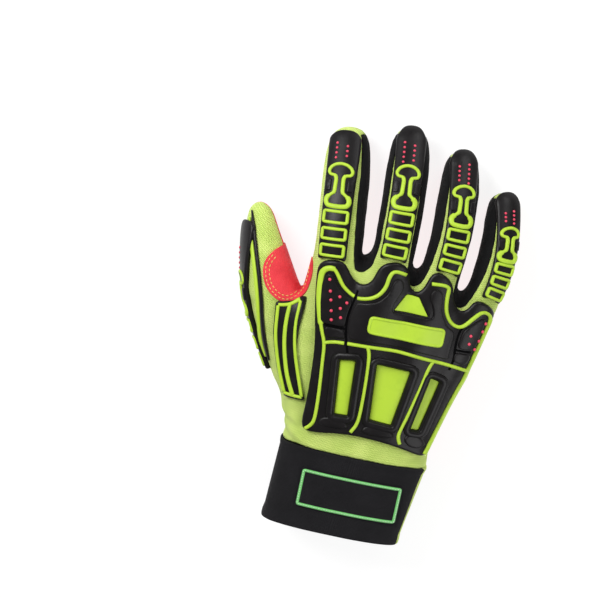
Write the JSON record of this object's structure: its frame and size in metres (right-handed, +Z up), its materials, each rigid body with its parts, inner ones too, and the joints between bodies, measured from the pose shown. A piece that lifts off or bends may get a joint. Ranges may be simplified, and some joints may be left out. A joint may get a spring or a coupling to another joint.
{
  "type": "impact glove",
  "caption": "Right-hand work glove with a knit back, leather palm, elastic cuff and rubber guards over the knuckles, fingers and thumb.",
  "frame": {"origin": "on the table, under the middle of the glove", "axes": "+Y to the fingertips, +Z up from the table, thumb at -X"},
  "size_m": [0.1784, 0.267, 0.0576],
  "materials": {
    "lime_knit": "hi-vis spandex knit",
    "black_knit": "stretch knit",
    "red_leather": "synthetic leather with double stitching",
    "neoprene": "neoprene with a fine knit face",
    "patch_cloth": "woven patch with a green stitched border",
    "webbing": "ribbed webbing",
    "guard_rubber": "semi-gloss moulded rubber",
    "lime_rubber": "semi-gloss moulded rubber"
  },
  "bodies": {
    "root": {"back_panel": "lime_knit", "palm_panel": "red_leather", "fourchette_index_middle": "black_knit", "fourchette_middle_ring": "black_knit", "fourchette_ring_pinky": "black_knit", "saddle_patch": "red_leather", "cuff": "neoprene", "cuff_gore": "lime_knit", "cuff_patch": "patch_cloth", "pull_tab": "webbing", "back_guard": "guard_rubber", "back_guard_window_inner": "lime_rubber", "back_guard_window_middle": "lime_rubber", "back_guard_window_outer": "lime_rubber", "back_guard_window_top": "lime_rubber", "back_guard_plate": "lime_rubber", "web_guard": "guard_rubber", "web_guard_frame": "lime_rubber", "index_guard": "guard_rubber", "index_guard_frame_low": "lime_rubber", "index_guard_frame_middle": "lime_rubber", "index_guard_frame_high": "lime_rubber", "index_guard_beam": "lime_rubber", "middle_guard": "guard_rubber", "middle_guard_frame_low": "lime_rubber", "middle_guard_frame_middle": "lime_rubber", "middle_guard_frame_high": "lime_rubber", "middle_guard_beam": "lime_rubber", "ring_guard": "guard_rubber", "ring_guard_frame_low": "lime_rubber", "ring_guard_frame_middle": "lime_rubber", "ring_guard_frame_high": "lime_rubber", "ring_guard_beam": "lime_rubber", "pinky_guard": "guard_rubber", "pinky_guard_frame_low": "lime_rubber", "pinky_guard_frame_middle": "lime_rubber", "pinky_guard_frame_high": "lime_rubber", "pinky_guard_beam": "lime_rubber", "thumb_guard": "guard_rubber", "thumb_guard_frame_low": "lime_rubber", "thumb_guard_frame_middle": "lime_rubber", "thumb_guard_frame_high": "lime_rubber", "thumb_guard_beam": "lime_rubber"}
  },
  "joints": []
}
